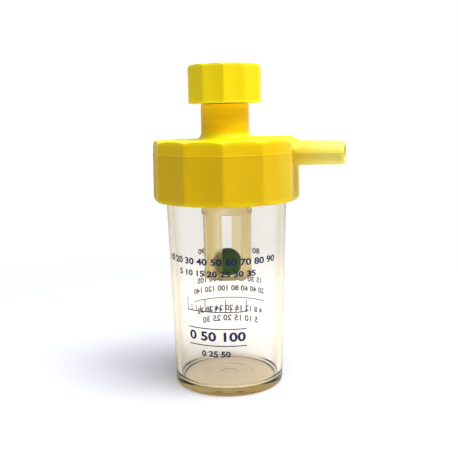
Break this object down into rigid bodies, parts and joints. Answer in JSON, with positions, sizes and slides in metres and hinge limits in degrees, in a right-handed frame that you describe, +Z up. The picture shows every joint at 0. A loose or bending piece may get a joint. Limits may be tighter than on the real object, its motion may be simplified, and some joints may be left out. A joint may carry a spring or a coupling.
{
  "type": "suction safety jar",
  "caption": "Small suction safety jar: clear tapered jar, yellow fluted screw cap with side hose spigot, slotted float cage with ball, and a fluted union nut on the neck.",
  "frame": {"origin": "centre of the jar's flat underside, on the axis of jar, cap and nut", "axes": "+Z up along the jar's axis, +X along the hose spigot"},
  "size_m": [0.0774, 0.0582, 0.1301],
  "materials": {
    "jar": "clear, slightly amber, polished moulding",
    "cap": "yellow moulded plastic, semi-gloss",
    "nut": "yellow moulded plastic, semi-gloss",
    "cage": "natural translucent moulded plastic",
    "ball": "dark green, smooth",
    "rubber": "black rubber",
    "silicone": "off-white silicone rubber",
    "felt": "white filter felt",
    "nipple_metal": "nickel-plated brass, turned"
  },
  "bodies": {
    "jar": {"jar": "jar"},
    "seal": {"jar_gasket": "rubber"},
    "head": {"jar_cap": "cap", "float_cage": "cage", "filter_disc": "felt", "valve_seat": "silicone", "nipple": "nipple_metal", "nipple_washer": "rubber"},
    "float": {"float_ball": "ball"},
    "nut": {"coupling_nut": "nut"}
  },
  "joints": [
    {"name": "cap_lift", "type": "slide", "parent": "jar", "child": "seal", "axis": [0, 0, 1], "range_m": [0, 0.0061]},
    {"name": "cap_turn", "type": "hinge", "parent": "seal", "child": "head", "pos_m": [0, 0, 0.0896], "axis": [0, 0, 1], "range_deg": [0, 540]},
    {"name": "ball_rise", "type": "slide", "parent": "head", "child": "float", "axis": [0, 0, 1], "range_m": [0, 0.0237]},
    {"name": "nut_spin", "type": "hinge", "parent": "head", "child": "nut", "pos_m": [0, 0, 0.1226], "axis": [0, 0, 1], "continuous": true}
  ],
  "couplings": [
    {"joint": "cap_lift", "follows": "cap_turn", "m_per_rad": 0.00063662}
  ]
}
